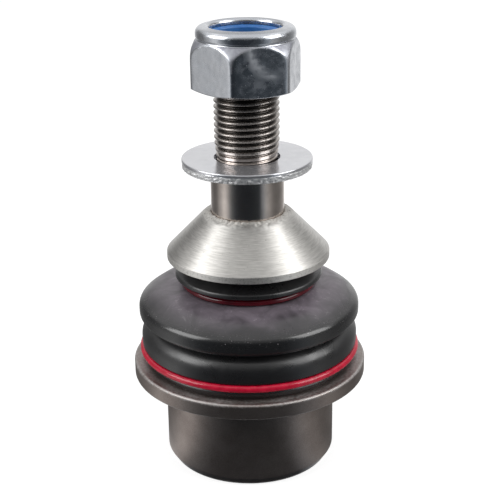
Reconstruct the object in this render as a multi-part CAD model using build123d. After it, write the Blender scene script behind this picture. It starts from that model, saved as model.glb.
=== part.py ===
from build123d import *
from math import asin, cos, degrees, radians, sin, tan
import os

# Suspension ball joint, pressed into a suspension arm by its barrel. Millimetres, +Z up along the
# stud; the origin is the centre of the housing's bottom face.

# Housing
barrel_diameter = 43.5
barrel_length = 23.3
lead_in_height = 2.1
lead_in_depth = 1.35
flange_diameter = 59.5
flange_thickness = 3.9
edge_break = 0.35
edge_share = 0.95
boot_seat_diameter = 48.2
boot_seat_height = 5.2
seat_lip_step = 0.6
seat_lip_height = 1.8
mouth_clearance = 0.9
mouth_land = 1.0
seat_rim_radius = 0.7
rolled_edge_thickness = 1.2
rolled_edge_overlap = 1.9

# Closing disc and its sealing ring
cover_thickness = 2.4
cover_ledge = 0.6
cover_dish_diameter = 26.0
cover_dish_depth = 0.9
seal_section = 1.2
cover_clearance = 0.05

# Disc spring
spring_height = 1.4
spring_leaf = 0.8
spring_bore = 19.0
spring_inset = 1.6

# Ball and its two bearing shells
ball_diameter = 30.0
ball_flat_depth = 1.8
bearing_wall = 3.0
shell_gap = 0.2
shell_corner_radius = 1.0
shell_cone_land = 3.3
shell_cone_start = 5.1
shell_bottom_hole = 15.6
grease_groove_width = 1.4
grease_groove_depth = 0.5
grease_groove_pairs = 3
bearing_clearance = 0.05
ball_clearance = 0.05
ball_floor_gap = 0.3
swing_angle = 20.0
swing_margin = 2.5

# Stud
neck_diameter = 16.0
neck_length = 26.0
shoulder_diameter = 22.4
shoulder_height = 2.2
neck_flare_height = 3.2
neck_fillet = 8.0
shank_diameter = 18.2
shank_length = 11.5
thread_diameter = 16.0
thread_length = 28.6
thread_relief_diameter = 14.2
thread_relief_length = 1.6
thread_runout = 2.0
thread_chamfer = 1.1
centre_drill_diameter = 4.0

# Turned cone pressed on the shank
cone_rim_diameter = 40.8
cone_rim_height = 1.55
cone_shoulder_inset = 0.5
cone_shoulder_rise = 1.0
cone_shoulder_radius = 1.5
cone_height = 11.75
cone_crown_diameter = 21.4
cone_crown_radius = 5.0
cone_bore_bevel = 0.6
spigot_diameter = 25.2
spigot_length = 9.85
spigot_bead = 0.6
spigot_bead_height = 1.0
press_clearance = 0.02

# Ring in the boot's upper lip, on which the cone's spigot turns
slide_ring_wall = 0.95
slide_ring_length = 6.4
slide_ring_collar = 1.1
slide_ring_collar_height = 0.6
slide_ring_drop = 1.1
spin_clearance = 0.05

# Dust boot
boot_wall = 1.8
boot_foot_wall = 2.1
foot_bead = 0.5
foot_fillet = 0.3
lower_fold_overhang = 1.25
waist_depth = 1.55
waist_radius = 0.5
waist_lift = -0.25
waist_flare = 1.6
upper_fold_overhang = 1.7
fold_radius = 2.0
brow_drop = 3.35
brow_radius = 3.0
crown_inset = 4.35
crown_drop = 1.95
crown_radius = 5.0
throat_overhang = 1.75
lip_overhang = 2.95
lip_edge = 0.7
lip_rise = 1.95
lip_rounding = 0.25
throat_dip = 0.9
throat_fillet = 0.2
inner_fillet = 0.8
boot_clearance = 0.05

# Clamp rings round the boot
lower_clamp_wire = 1.8
lower_clamp_height = 3.1
upper_clamp_wire = 1.6
upper_clamp_drop = 5.35

# Washer and self-locking nut
washer_diameter = 32.2
washer_thickness = 2.35
washer_play = 0.25
nut_engagement = 9.35
nut_across_flats = 24.0
nut_height = 15.05
nut_face_diameter = 23.0
nut_collar_height = 3.15
nut_dome_height = 4.6
nut_dome_radius = 3.0
nut_bottom_bevel = 0.9
nut_neck_step = 0.3
nut_neck_height = 0.5
nut_rim_radius = 1.5
nut_lip_thickness = 1.35
nut_mouth_play = 1.3
nut_mouth_bevel = 0.5
nut_bore_bevel = 1.0
nut_turn = 15.9
insert_height = 3.1
insert_wall = 2.2
insert_clearance = 0.05
insert_bevel = 0.4
thread_clearance = 0.05

# Heights worked out from the stack inside the housing
cover_bottom = rolled_edge_thickness
cover_top = cover_bottom + cover_thickness
shell_bottom = cover_top + spring_height
ball_radius = ball_diameter / 2
ball_centre = shell_bottom + ball_floor_gap + ball_radius - ball_flat_depth
flange_top = barrel_length + flange_thickness
seat_top = flange_top + boot_seat_height
housing_top = seat_top + seat_lip_height

# Heights worked out along the stud
collar_bottom = ball_centre + neck_length
rim_bottom = collar_bottom + spigot_length
cone_top = rim_bottom + cone_height
washer_seat = cone_top + shank_length
stud_end = washer_seat + thread_length
washer_top = washer_seat + washer_thickness
nut_bottom = stud_end - nut_engagement
nut_top = nut_bottom + nut_height

# Radii that two pieces share
shell_radius = ball_radius + bearing_wall
bore_radius = shell_radius + bearing_clearance
cover_radius = bore_radius + cover_ledge
boot_seat_radius = boot_seat_diameter / 2
spigot_radius = spigot_diameter / 2
slide_bore_radius = spigot_radius + spin_clearance
slide_ring_radius = slide_bore_radius + slide_ring_wall
foot_radius = boot_seat_radius + boot_clearance + boot_foot_wall
neck_bore_radius = slide_ring_radius + boot_clearance
clamp_groove_radius = neck_bore_radius + boot_wall
nut_bore_radius = thread_diameter / 2 + thread_clearance
insert_radius = nut_bore_radius + insert_wall
slide_ring_top = rim_bottom - slide_ring_drop
upper_clamp_centre = slide_ring_top - upper_clamp_drop
lower_clamp_centre = flange_top + lower_clamp_height
lower_fold_radius = foot_radius + lower_fold_overhang
waist_line_radius = foot_radius - waist_depth
upper_fold_radius = foot_radius + upper_fold_overhang
crown_line_radius = upper_fold_radius - crown_inset
crown_z = upper_clamp_centre - crown_drop
brow_z = crown_z - brow_drop
waist_z = (lower_clamp_centre + crown_z) / 2 + waist_lift


def held_by_edges(points, roundings):
    # The roundings as given, but no larger than the edges on both sides of a corner can hold.
    edges = [point - points[i - 1] for i, point in enumerate(points)]
    turns = [edge.get_angle(edges[i - len(edges) + 1]) for i, edge in enumerate(edges)]
    taken = [rounding * tan(radians(turn / 2)) for rounding, turn in zip(roundings, turns)]
    wanted = [taken[i - 1] + taken[i] for i in range(len(edges))]
    room = [min(1, edge.length * edge_share / max(want, 1e-6)) for edge, want in zip(edges, wanted)]
    return [roundings[i] * min(room[i], room[i - len(room) + 1]) for i in range(len(room))]


def turned(*corners):
    # A solid of revolution about Z. Each corner is (radius, height) or (radius, height, rounding).
    points = [Vector(corner[0], corner[1]) for corner in corners]
    roundings = [corner[2] if len(corner) > 2 else 0 for corner in corners]
    outline = FilletPolyline(*points, radius=held_by_edges(points, roundings), close=True)
    return revolve(make_face(Plane.XZ * outline), axis=Axis.Z)


def ball_solid(radius):
    return Pos(0, 0, ball_centre) * Sphere(radius)


def swing_reach(height):
    # How far from the axis the tilted neck comes at a height, with the stud at its limit.
    above_ball = height - ball_centre
    swing = radians(swing_angle)
    return (neck_diameter / 2 + above_ball * sin(swing)) / cos(swing)


def shell_rim():
    # Where the upper shell lets go of the ball: radius and height of its spherical rim.
    neck_angle = degrees(asin(neck_diameter / ball_diameter))
    rim_angle = radians(neck_angle + swing_angle + swing_margin)
    return ball_radius * sin(rim_angle), ball_centre + ball_radius * cos(rim_angle)


def upper_shell_cone():
    # The upper shell's outer cone, which the housing's inner shoulder follows.
    rim_radius, rim_height = shell_rim()
    return rim_radius + shell_cone_land, rim_height, ball_centre + shell_cone_start


def housing():
    barrel = barrel_diameter / 2
    flange = flange_diameter / 2
    cone_radius, shell_top, cone_start = upper_shell_cone()
    land_top = shell_top + bearing_clearance + mouth_land
    throat = swing_reach(land_top) + mouth_clearance
    mouth = swing_reach(housing_top) + mouth_clearance
    lip = boot_seat_radius + seat_lip_step
    return turned(
        (cover_radius - rolled_edge_overlap, 0, edge_break),
        (barrel - lead_in_depth, 0, edge_break),
        (barrel, lead_in_height),
        (barrel, barrel_length, edge_break),
        (flange, barrel_length, edge_break),
        (flange, flange_top, edge_break),
        (boot_seat_radius, flange_top, edge_break),
        (boot_seat_radius, seat_top - seat_lip_step),
        (lip, seat_top),
        (lip, housing_top, seat_rim_radius),
        (mouth, housing_top, edge_break),
        (throat, land_top, edge_break),
        (throat, shell_top + bearing_clearance),
        (cone_radius, shell_top + bearing_clearance),
        (bore_radius, cone_start),
        (bore_radius, cover_top),
        (cover_radius, cover_top),
        (cover_radius, cover_bottom),
        (cover_radius - rolled_edge_overlap, cover_bottom, edge_break),
    )


def cover_plate():
    edge = cover_radius - cover_clearance
    dish = cover_dish_diameter / 2
    groove = cover_top - seal_section
    return turned(
        (0, cover_bottom + cover_dish_depth),
        (dish - cover_dish_depth, cover_bottom + cover_dish_depth, edge_break),
        (dish, cover_bottom, edge_break),
        (edge, cover_bottom),
        (edge, groove),
        (edge - seal_section, groove),
        (edge - seal_section, cover_top),
        (0, cover_top),
    )


def cover_seal_ring():
    ring = seal_section / 2
    centre = cover_radius - cover_clearance - ring
    section = Pos(centre, 0, cover_top - ring) * (Plane.XZ * Circle(ring - cover_clearance))
    return revolve(section, axis=Axis.Z)


def preload_spring():
    outer = shell_radius - spring_inset
    inner = spring_bore / 2
    return turned(
        (inner, shell_bottom - spring_leaf),
        (outer, cover_top),
        (outer, cover_top + spring_leaf),
        (inner, shell_bottom),
    )


def grease_grooves():
    # Channels round the ball in upright planes; each ring makes a groove on two sides.
    groove = grease_groove_width / 2
    reach = ball_radius + ball_clearance + grease_groove_depth - groove
    ring = Pos(0, 0, ball_centre) * Rot(90, 0, 0) * Torus(reach, groove)
    return [Rot(0, 0, 180 / grease_groove_pairs * turn) * ring for turn in range(grease_groove_pairs)]


def bearing_shell(blank):
    return blank - ball_solid(ball_radius + ball_clearance) - grease_grooves()


def lower_bearing_shell():
    split = ball_centre - shell_gap / 2
    return bearing_shell(turned(
        (shell_bottom_hole / 2, shell_bottom),
        (shell_radius, shell_bottom, shell_corner_radius),
        (shell_radius, split),
        (shell_bottom_hole / 2, split),
    ))


def upper_bearing_shell():
    split = ball_centre + shell_gap / 2
    rim_radius, rim_height = shell_rim()
    cone_radius, shell_top, cone_start = upper_shell_cone()
    return bearing_shell(turned(
        (rim_radius - bearing_wall, split),
        (shell_radius, split),
        (shell_radius, cone_start - bearing_clearance),
        (cone_radius - bearing_clearance, shell_top),
        (rim_radius, rim_height),
        (rim_radius - bearing_wall, rim_height - bearing_wall),
    ))


def ball_stud():
    neck = neck_diameter / 2
    shoulder = shoulder_diameter / 2
    shank = shank_diameter / 2
    thread = thread_diameter / 2
    relief = thread_relief_diameter / 2
    shoulder_bottom = collar_bottom - shoulder_height
    shaft = turned(
        (0, ball_centre),
        (neck, ball_centre),
        (neck, shoulder_bottom - neck_flare_height, neck_fillet),
        (shoulder, shoulder_bottom, edge_break),
        (shoulder, collar_bottom, edge_break),
        (shank, collar_bottom),
        (shank, washer_seat, edge_break),
        (relief, washer_seat, edge_break),
        (relief, washer_seat + thread_relief_length, thread_runout),
        (thread, washer_seat + thread_relief_length + thread_runout),
        (thread, stud_end - thread_chamfer),
        (thread - thread_chamfer, stud_end),
        (0, stud_end),
    )
    flat = ball_centre - ball_radius + ball_flat_depth
    below_flat = Pos(0, 0, flat - ball_radius / 2) * Cylinder(ball_radius, ball_radius)
    drill = centre_drill_diameter / 2
    centre_mark = Pos(0, 0, stud_end - drill / 2) * Cone(0, drill, drill)
    return ball_solid(ball_radius) - below_flat + shaft - centre_mark


def cone_collar():
    bore = shank_diameter / 2 + press_clearance
    rim = cone_rim_diameter / 2
    rim_top = rim_bottom + cone_rim_height
    bead = spigot_radius + spigot_bead
    bevel = edge_break / 2
    turning = turned(
        (0, collar_bottom),
        (bead, collar_bottom, bevel),
        (bead, collar_bottom + spigot_bead_height - spigot_bead),
        (spigot_radius, collar_bottom + spigot_bead_height),
        (spigot_radius, rim_bottom),
        (rim - bevel, rim_bottom),
        (rim, rim_bottom + bevel),
        (rim, rim_top),
        (rim - cone_shoulder_inset, rim_top + cone_shoulder_rise, cone_shoulder_radius),
        (cone_crown_diameter / 2, cone_top, cone_crown_radius),
        (0, cone_top),
    )
    shank_hole = turned(
        (0, collar_bottom),
        (bore, collar_bottom),
        (bore, cone_top - cone_bore_bevel),
        (bore + cone_bore_bevel, cone_top),
        (0, cone_top),
    )
    return turning - shank_hole


def lip_slide_ring():
    collar = slide_ring_radius + slide_ring_collar
    bottom = slide_ring_top - slide_ring_length
    return turned(
        (slide_bore_radius, bottom),
        (slide_ring_radius, bottom),
        (slide_ring_radius, slide_ring_top - slide_ring_collar_height),
        (collar, slide_ring_top - slide_ring_collar_height),
        (collar, slide_ring_top),
        (slide_bore_radius, slide_ring_top),
    )


def boot_outside():
    # The boot's outer outline, from its foot on the flange up to the edge of its lip.
    ring = lower_clamp_wire / 2
    clamp = upper_clamp_wire / 2
    throat = clamp_groove_radius + throat_overhang
    lip = clamp_groove_radius + lip_overhang
    lip_z = upper_clamp_centre + lip_rise
    return [
        (foot_radius, flange_top),
        (foot_radius + foot_bead, lower_clamp_centre - 2 * ring, foot_fillet),
        (foot_radius, lower_clamp_centre - ring, foot_fillet),
        (foot_radius, lower_clamp_centre + ring, foot_fillet),
        (lower_fold_radius, lower_clamp_centre + 2 * ring, inner_fillet),
        (lower_fold_radius, waist_z - fold_radius, fold_radius),
        (waist_line_radius, waist_z, waist_radius),
        (upper_fold_radius, waist_z + waist_flare, fold_radius),
        (upper_fold_radius, brow_z, brow_radius),
        (crown_line_radius, crown_z, crown_radius),
        (throat, upper_clamp_centre - clamp / 2, throat_fillet),
        (throat - clamp, upper_clamp_centre - throat_dip),
        (clamp_groove_radius, upper_clamp_centre - throat_dip),
        (clamp_groove_radius, upper_clamp_centre + clamp, throat_fillet),
        (lip, lip_z - lip_edge / 2, lip_rounding),
        (lip, lip_z + lip_edge / 2, lip_rounding),
    ]


def boot_inside():
    # The boot's inner outline, from its lip down to its foot; one wall inside the outer one.
    upper = upper_fold_radius - boot_wall
    lower = lower_fold_radius - boot_wall
    neck_top = slide_ring_top - slide_ring_collar_height - boot_clearance
    neck_bottom = upper_clamp_centre - upper_clamp_wire / 2 - boot_wall
    lip_seat = slide_ring_radius + slide_ring_collar
    seat = boot_seat_radius + boot_clearance
    seat_lip = seat + seat_lip_step
    return [
        (lip_seat + lip_edge, neck_top, lip_rounding),
        (neck_bore_radius, neck_top),
        (neck_bore_radius, neck_bottom, inner_fillet),
        (crown_line_radius - boot_wall / 2, crown_z - boot_wall, crown_radius),
        (upper, brow_z - boot_wall, fold_radius),
        (upper, waist_z + waist_flare + boot_wall / 4, inner_fillet),
        (waist_line_radius - boot_wall, waist_z, waist_radius),
        (lower, waist_z - fold_radius, inner_fillet),
        (lower, seat_top + boot_wall, inner_fillet),
        (seat_lip, seat_top + edge_break),
        (seat_lip, seat_top),
        (seat, seat_top - seat_lip_step),
        (seat, flange_top + edge_break),
        (seat + edge_break, flange_top),
    ]


def dust_boot():
    return turned(*boot_outside(), *boot_inside())


def clamp_ring(groove_radius, wire, height):
    section = Pos(groove_radius + wire / 2 + boot_clearance, 0, height) * (Plane.XZ * Circle(wire / 2))
    return revolve(section, axis=Axis.Z)


def plain_washer():
    hole = (thread_diameter + washer_play) / 2
    rim = washer_diameter / 2
    return turned(
        (hole, washer_seat),
        (rim, washer_seat, edge_break),
        (rim, washer_top, edge_break / 2),
        (hole, washer_top),
    )


def hexagon_blank():
    # The hexagon with its corners domed at the top and bevelled at the bottom.
    flats = nut_across_flats / 2
    corner = flats / cos(radians(30))
    top = nut_top - nut_collar_height
    turning = turned(
        (0, nut_bottom),
        (nut_face_diameter / 2, nut_bottom),
        (corner, nut_bottom + nut_bottom_bevel),
        (corner, top - nut_dome_height),
        (corner - nut_neck_step, top - nut_dome_height / 3, nut_dome_radius),
        (flats - nut_neck_step, top),
        (0, top),
    )
    flat_sides = RegularPolygon(flats, 6, major_radius=False, rotation=nut_turn)
    return turning & Pos(0, 0, nut_bottom) * extrude(flat_sides, top - nut_bottom)


def nut_body():
    collar = nut_across_flats / 2
    neck = collar - nut_neck_step
    hex_top = nut_top - nut_collar_height
    pocket_top = nut_top - nut_lip_thickness
    pocket_bottom = pocket_top - insert_height
    pocket = insert_radius + insert_clearance
    mouth = (thread_diameter + nut_mouth_play) / 2
    rolled_collar = turned(
        (0, pocket_bottom),
        (neck, pocket_bottom),
        (neck, hex_top),
        (collar, hex_top + nut_neck_height, nut_neck_step),
        (collar, nut_top, nut_rim_radius),
        (0, nut_top),
    )
    hollow = turned(
        (0, nut_bottom),
        (nut_bore_radius + nut_bore_bevel, nut_bottom),
        (nut_bore_radius, nut_bottom + nut_bore_bevel),
        (nut_bore_radius, pocket_bottom),
        (pocket, pocket_bottom),
        (pocket, pocket_top),
        (mouth, pocket_top),
        (mouth, nut_top - nut_mouth_bevel),
        (mouth + nut_mouth_bevel, nut_top),
        (0, nut_top),
    )
    return hexagon_blank() + rolled_collar - hollow


def nylon_insert():
    top = nut_top - nut_lip_thickness - insert_clearance
    bottom = nut_top - nut_lip_thickness - insert_height + insert_clearance
    return turned(
        (nut_bore_radius, bottom),
        (insert_radius, bottom),
        (insert_radius, top),
        (nut_bore_radius + insert_bevel, top),
        (nut_bore_radius, top - insert_bevel),
    )


pieces = {
    "housing": housing(),
    "cover_plate": cover_plate(),
    "cover_seal_ring": cover_seal_ring(),
    "preload_spring": preload_spring(),
    "lower_bearing_shell": lower_bearing_shell(),
    "upper_bearing_shell": upper_bearing_shell(),
    "ball_stud": ball_stud(),
    "cone_collar": cone_collar(),
    "lip_slide_ring": lip_slide_ring(),
    "dust_boot": dust_boot(),
    "boot_lower_clamp": clamp_ring(foot_radius, lower_clamp_wire, lower_clamp_centre),
    "boot_upper_clamp": clamp_ring(clamp_groove_radius, upper_clamp_wire, upper_clamp_centre),
    "plain_washer": plain_washer(),
    "nut_body": nut_body(),
    "nylon_insert": nylon_insert(),
}

os.makedirs("parts", exist_ok=True)
for name, piece in pieces.items():
    piece.label = name
    export_step(piece, f"parts/{name}.step")
    print(name, round(piece.volume), "mm3, box", piece.bounding_box())
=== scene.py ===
# Suspension ball joint: press-in housing, bellows boot, swivelling stud, turned cone, washer and lock nut.
import math

import bmesh
import bpy
import numpy as np
from mathutils import Matrix, Vector, noise


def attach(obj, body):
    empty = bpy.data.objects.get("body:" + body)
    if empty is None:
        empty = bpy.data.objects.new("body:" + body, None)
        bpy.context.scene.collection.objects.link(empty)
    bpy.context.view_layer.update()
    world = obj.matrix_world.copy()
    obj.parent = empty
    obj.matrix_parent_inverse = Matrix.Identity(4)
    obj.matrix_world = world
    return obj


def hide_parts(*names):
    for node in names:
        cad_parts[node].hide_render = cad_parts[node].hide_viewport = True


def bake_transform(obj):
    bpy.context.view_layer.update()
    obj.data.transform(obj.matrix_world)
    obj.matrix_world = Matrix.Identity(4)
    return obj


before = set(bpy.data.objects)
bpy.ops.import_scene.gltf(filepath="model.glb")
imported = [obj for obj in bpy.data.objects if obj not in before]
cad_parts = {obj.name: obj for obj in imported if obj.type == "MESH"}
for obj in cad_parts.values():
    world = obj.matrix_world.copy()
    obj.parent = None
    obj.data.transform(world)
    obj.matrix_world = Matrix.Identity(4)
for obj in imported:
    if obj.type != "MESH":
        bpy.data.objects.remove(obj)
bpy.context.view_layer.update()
mm = 0.001


def toLinear(hexColour):
    levels = [int(hexColour[i:i + 2], 16) / 255 for i in (1, 3, 5)]
    return [v / 12.92 if v <= 0.04045 else ((v + 0.055) / 1.055) ** 2.4 for v in levels] + [1.0]


def valueFor(source):
    # A node stands for the first of its outputs in use, and a hex colour for its linear levels.
    if isinstance(source, bpy.types.Node):
        return next(socket for socket in source.outputs if socket.enabled)
    return toLinear(source) if isinstance(source, str) else source


def addNode(tree, kind, inputs=(), **settings):
    # Inputs are a list in the node's own order, or a dictionary by name or number.
    # A kind without the word Node in it is a shader node's short name.
    node = tree.nodes.new(kind if "Node" in kind else "ShaderNode" + kind)
    for name, value in settings.items():
        setattr(node, name, value)
    for key, value in inputs.items() if isinstance(inputs, dict) else enumerate(inputs):
        source = valueFor(value)
        if isinstance(source, bpy.types.NodeSocket):
            tree.links.new(source, node.inputs[key])
        else:
            node.inputs[key].default_value = source
    return node


def roundedOutline(corners, arcStep=8, longest=None):
    # Corners are (radius, height[, rounding]) in mm; the outline is closed unless it starts on the axis.
    points = [np.array(corner[:2], float) for corner in corners]
    roundings = [corner[2] if len(corner) > 2 else 0 for corner in corners]
    count = len(points)
    closed = points[0][0] > 0
    mostOfSide = 0.95  # two roundings on one side share this much of it
    turns, takes = [], []
    for i, point in enumerate(points):
        before, after = point - points[i - 1], points[(i + 1) % count] - point
        cross = before[0] * after[1] - before[1] * after[0]
        turn = math.atan2(cross, float(before @ after))
        turns.append(turn)
        takes.append(roundings[i] * abs(math.tan(turn / 2)))
    outline = []
    for i, point in enumerate(points):
        before, after = points[i - 1] - point, points[(i + 1) % count] - point
        lengthBefore, lengthAfter = np.linalg.norm(before), np.linalg.norm(after)
        shareBefore = min(1, mostOfSide * lengthBefore / max(takes[i] + takes[i - 1], 1e-9))
        shareAfter = min(1, mostOfSide * lengthAfter / max(takes[i] + takes[(i + 1) % count], 1e-9))
        take = takes[i] * min(shareBefore, shareAfter)
        if take < 1e-6:
            outline.append(point)
            continue
        start = point + before / lengthBefore * take
        radius = take / abs(math.tan(turns[i] / 2))
        centre = start + np.array([-before[1], before[0]]) / lengthBefore * -radius * np.sign(turns[i])
        steps = max(2, math.ceil(abs(math.degrees(turns[i])) / arcStep))
        spoke = start - centre
        for k in range(steps + 1):
            a = turns[i] * k / steps
            outline.append(centre + [spoke[0] * math.cos(a) - spoke[1] * math.sin(a),
                                     spoke[0] * math.sin(a) + spoke[1] * math.cos(a)])
    if longest:
        fine = []
        for i, point in enumerate(outline):
            fine.append(point)
            if i + 1 < len(outline) or closed:
                following = outline[(i + 1) % len(outline)]
                pieces = math.ceil(np.linalg.norm(following - point) / longest)
                fine += [point + (following - point) * k / pieces for k in range(1, pieces)]
        outline = fine
    return np.array(outline), closed


def joined(stretches):
    # An outline's named stretches, end to end.
    return [corner for stretch in stretches.values() for corner in stretch]


def cleanMesh(name, points, faces, sharpAngle=32):
    # Points in mm; doubles are merged and normals turned outwards before the piece is linked.
    mesh = bpy.data.meshes.new(name)
    mesh.from_pydata((np.asarray(points) * mm).tolist(), [], faces)
    work = bmesh.new()
    work.from_mesh(mesh)
    bmesh.ops.remove_doubles(work, verts=work.verts, dist=0.002 * mm)
    bmesh.ops.recalc_face_normals(work, faces=work.faces)
    work.to_mesh(mesh)
    work.free()
    mesh.shade_smooth()
    mesh.set_sharp_from_angle(angle=math.radians(sharpAngle))
    piece = bpy.data.objects.new(name, mesh)
    bpy.context.scene.collection.objects.link(piece)
    return piece


def latheFaces(rows, segments, closed):
    faces = []
    for i in range(rows if closed else rows - 1):
        j = (i + 1) % rows
        for k in range(segments):
            n = (k + 1) % segments
            faces.append((i * segments + k, j * segments + k, j * segments + n, i * segments + n))
    return faces


def ringPoints(outline, angles):
    radius, height = outline[:, 0][:, None], outline[:, 1][:, None]
    rings = [radius * np.cos(angles), radius * np.sin(angles), height + 0 * angles]
    return np.stack(rings, -1).reshape(-1, 3)


def turnedPiece(name, stretches, segments=240, longest=None, sharpAngle=32):
    outline, closed = roundedOutline(joined(stretches), longest=longest)
    angles = np.arange(segments) * 2 * math.pi / segments
    faces = latheFaces(len(outline), segments, closed)
    return cleanMesh(name, ringPoints(outline, angles), faces, sharpAngle)


def placesOf(piece):
    # A piece's points in mm, with how far each is from the axis.
    flat = np.empty(len(piece.data.vertices) * 3, np.float32)
    piece.data.vertices.foreach_get("co", flat)
    points = flat.reshape(-1, 3).astype(float) / mm
    return points, np.hypot(points[:, 0], points[:, 1])


def addAttribute(piece, name, values):
    layer = piece.data.attributes.new(name, "FLOAT", "POINT")
    layer.data.foreach_set("value", np.asarray(values, np.float32))


def noiseAt(points, featureMm, seed=0):
    # Smooth noise of about the given feature size, in the range -1..1.
    return np.array([noise.noise(Vector(p) / featureMm + Vector((seed, 7.3, 1.7))) for p in points])


def newTree(name, sizes):
    tree = bpy.data.node_groups.new(name, "GeometryNodeTree")
    for label, value in sizes.items():
        kind = "NodeSocketInt" if isinstance(value, int) else "NodeSocketFloat"
        tree.interface.new_socket(name=label, in_out="INPUT", socket_type=kind)
    tree.interface.new_socket(name="Geometry", in_out="OUTPUT", socket_type="NodeSocketGeometry")
    entry = addNode(tree, "NodeGroupInput")
    return tree, {socket.name: socket for socket in entry.outputs if socket.name}


def endTree(tree, geometry, material):
    real = addNode(tree, "GeometryNodeRealizeInstances", [geometry])
    coated = addNode(tree, "GeometryNodeSetMaterial", {0: real, "Material": material})
    addNode(tree, "NodeGroupOutput", [coated])


def pieceFromTree(name, tree, sizes):
    carrier = bpy.data.objects.new(name + "Carrier", bpy.data.meshes.new(name + "Carrier"))
    bpy.context.scene.collection.objects.link(carrier)
    modifier = carrier.modifiers.new(name, "NODES")
    modifier.node_group = tree
    for item in tree.interface.items_tree:
        if item.in_out == "INPUT":
            modifier[item.identifier] = sizes[item.name]
    graph = bpy.context.evaluated_depsgraph_get()
    mesh = bpy.data.meshes.new_from_object(carrier.evaluated_get(graph), depsgraph=graph)
    bpy.data.objects.remove(carrier)
    piece = bpy.data.objects.new(name, mesh)
    bpy.context.scene.collection.objects.link(piece)
    return piece


# Camera: long lens, looking down on the joint from in front; lens in mm, places in metres, turns in degrees
cameraView = {"lens": 85.03, "sensor": 36, "distance": 0.2777, "height": 0.1619,
              "tilt": 69.01, "turn": -0.09, "roll": -0.68}
cameraData = bpy.data.cameras.new("camera")
cameraData.lens = cameraView["lens"]
cameraData.sensor_width = cameraView["sensor"]
camera = bpy.data.objects.new("camera", cameraData)
bpy.context.scene.collection.objects.link(camera)
stand = Matrix.Translation((0, -cameraView["distance"], cameraView["height"]))
turn, tilt, roll = [Matrix.Rotation(math.radians(cameraView[key]), 4, axis)
                    for key, axis in (("turn", "Z"), ("tilt", "X"), ("roll", "Z"))]
camera.matrix_world = stand @ turn @ tilt @ roll
bpy.context.scene.camera = camera


def startMaterial(name, hexColour, roughness, metallic=0.0, **constants):
    # A material with its even values set, with its tree, its shader and the piece's own coordinates.
    material = bpy.data.materials.new(name)
    material.use_nodes = True
    tree = material.node_tree
    shader = tree.nodes["Principled BSDF"]
    even = {"Base_Color": toLinear(hexColour), "Roughness": roughness, "Metallic": metallic, **constants}
    for label, value in even.items():
        shader.inputs[label.replace("_", " ")].default_value = value
    return material, tree, shader, addNode(tree, "TexCoord").outputs["Object"]


def plugIn(tree, shader, sources):
    for label, source in sources.items():
        tree.links.new(valueFor(source), shader.inputs[label])


def roundAndRound(tree, place, across, along):
    # Coordinates for marks that run round the axis: fine across the marks, long along them, without a seam.
    sides = addNode(tree, "SeparateXYZ", [place])
    flat = addNode(tree, "CombineXYZ", [sides.outputs[0], sides.outputs[1]])
    spoke = addNode(tree, "VectorMath", [flat], operation="NORMALIZE")
    reach = addNode(tree, "VectorMath", [flat], operation="LENGTH").outputs["Value"]
    stretched = addNode(tree, "VectorMath", {0: spoke, "Scale": along}, operation="SCALE")
    slope = addNode(tree, "Math", [sides.outputs[2], reach], operation="SUBTRACT")
    level = addNode(tree, "Math", [slope, across], operation="MULTIPLY")
    lift = addNode(tree, "CombineXYZ", {2: level})
    return addNode(tree, "VectorMath", [stretched, lift], operation="ADD")


def wipedArc(tree, place, patches, smear):
    # An arc wiped into the passivation on one flat scatters light that the flat would mirror away.
    wobble = smear["wobble"] * mm
    drift = addNode(tree, "MapRange", [patches, 0.0, 1.0, -wobble, wobble])
    away = addNode(tree, "VectorMath", [place, [v * mm for v in smear["centre"]]], operation="SUBTRACT")
    level = addNode(tree, "VectorMath", [away, (1, 0, 1)], operation="MULTIPLY")
    reach = addNode(tree, "VectorMath", [level], operation="LENGTH").outputs["Value"]
    drawn = addNode(tree, "Math", [reach, drift], operation="ADD")
    fromArc = addNode(tree, "Math", [drawn, smear["radius"] * mm], operation="SUBTRACT")
    nearArc = addNode(tree, "Math", [fromArc], operation="ABSOLUTE")
    arc = addNode(tree, "MapRange", [nearArc, 0.0, smear["width"] * mm, 1.0, 0.0])
    sides = addNode(tree, "SeparateXYZ", [away])
    left, front, low = [addNode(tree, "MapRange", [side, whole * mm, gone * mm, 1.0, 0.0])
                        for side, (whole, gone) in zip(sides.outputs, smear["fades"])]
    corner = addNode(tree, "Math", [left, low], operation="MULTIPLY")
    oneFlat = addNode(tree, "Math", [corner, front], operation="MULTIPLY")
    wiped = addNode(tree, "Math", [arc, oneFlat], operation="MULTIPLY")
    uneven = addNode(tree, "MapRange", [patches, *smear["uneven"]])
    return addNode(tree, "Math", [wiped, uneven], operation="MULTIPLY")


# Sizes in finishes are in mm. Ranges give where a pattern starts and is full, its two levels, or both.
plating = {
    "bare": "#F4F4F4", "pitShade": "#77787C", "bruise": "#9B9CA4",
    "patch": 2.6, "cloud": 3.5, "speck": 0.35, "dent": 0.7, "wave": 2.6, "tear": 0.45, "tearDepth": 0.2,
    "blotches": (0.4, 0.6, 0.5, 1.0), "holes": (0.34, 0.46), "polished": (0.35, 0.7), "rubs": (0.69, 0.75),
    "hazed": (0.5, 0.72), "handledRoughness": 0.55, "tornRoughness": 0.5,
}
nutPlating = {
    **plating, "light": "#DADCE0", "dull": "#BABEC5", "metal": 1.0, "rough": (0.3, 0.1), "haze": 0.4,
    "waveDepth": 0.15, "dentDepth": 0.012,
    "smear": {"centre": (6.6, -12.0, 107.6), "radius": 5.6, "width": 2.0, "wobble": 1.8,
              "fades": ((-0.5, 2.5), (1.5, 2.5), (0.0, 3.5)), "uneven": (0.38, 0.6, 0.35, 1.2)},
}
washerPlating = {
    **plating, "light": "#DEDEE1", "dull": "#CBCCD1", "metal": 0.82, "rough": (0.2, 0.14), "haze": 0.1,
    "waveDepth": 0.03, "dentDepth": 0.001, "smear": None,
}


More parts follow.
